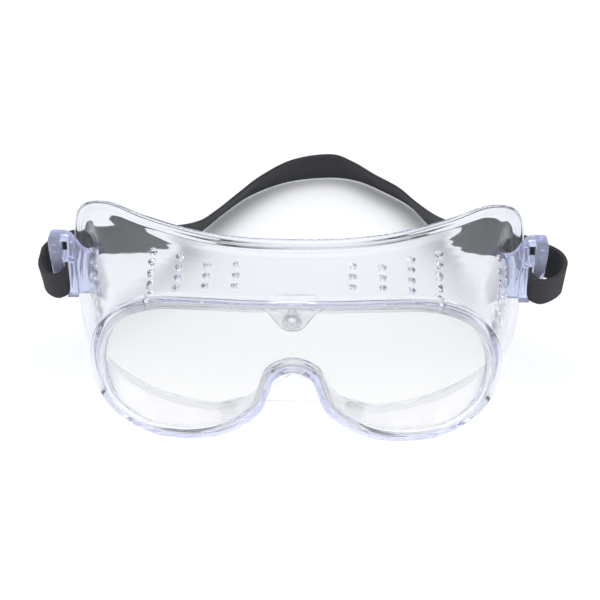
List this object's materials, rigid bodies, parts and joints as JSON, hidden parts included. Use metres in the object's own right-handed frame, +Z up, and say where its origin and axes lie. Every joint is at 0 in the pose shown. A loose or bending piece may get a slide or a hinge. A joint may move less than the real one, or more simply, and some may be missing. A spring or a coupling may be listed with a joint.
{
  "type": "safety goggles",
  "caption": "Clear soft-sided impact goggles with a one-piece bent lens, perforated walls, hook lugs at the sides and a dark elastic head strap.",
  "frame": {"origin": "on the table, under the middle of the bounding box of the goggles with their strap", "axes": "+Z up, the lens faces -Y, the strap lies behind at +Y, X = 0 is the wearer's middle plane"},
  "size_m": [0.1884, 0.188, 0.0659],
  "materials": {
    "clear_vinyl": "clear soft vinyl, smooth, faintly blue where thick",
    "clear_lens": "clear polished sheet",
    "tinted_plastic": "clear moulded plastic that looks blue where thick",
    "elastic": "ribbed knitted elastic, dark charcoal"
  },
  "bodies": {
    "goggles": {"frame_body": "clear_vinyl", "lens": "clear_lens", "lens_stud": "tinted_plastic", "lug_left": "tinted_plastic", "lug_right": "tinted_plastic", "strap_end_left": "elastic", "strap_end_right": "elastic"},
    "strap": {"strap_band": "elastic"}
  },
  "joints": [
    {"name": "strap_swing", "type": "hinge", "parent": "goggles", "child": "strap", "pos_m": [0, -0.03394, 0.03684], "axis": [1, 0, 0], "range_deg": [0, 35]}
  ]
}
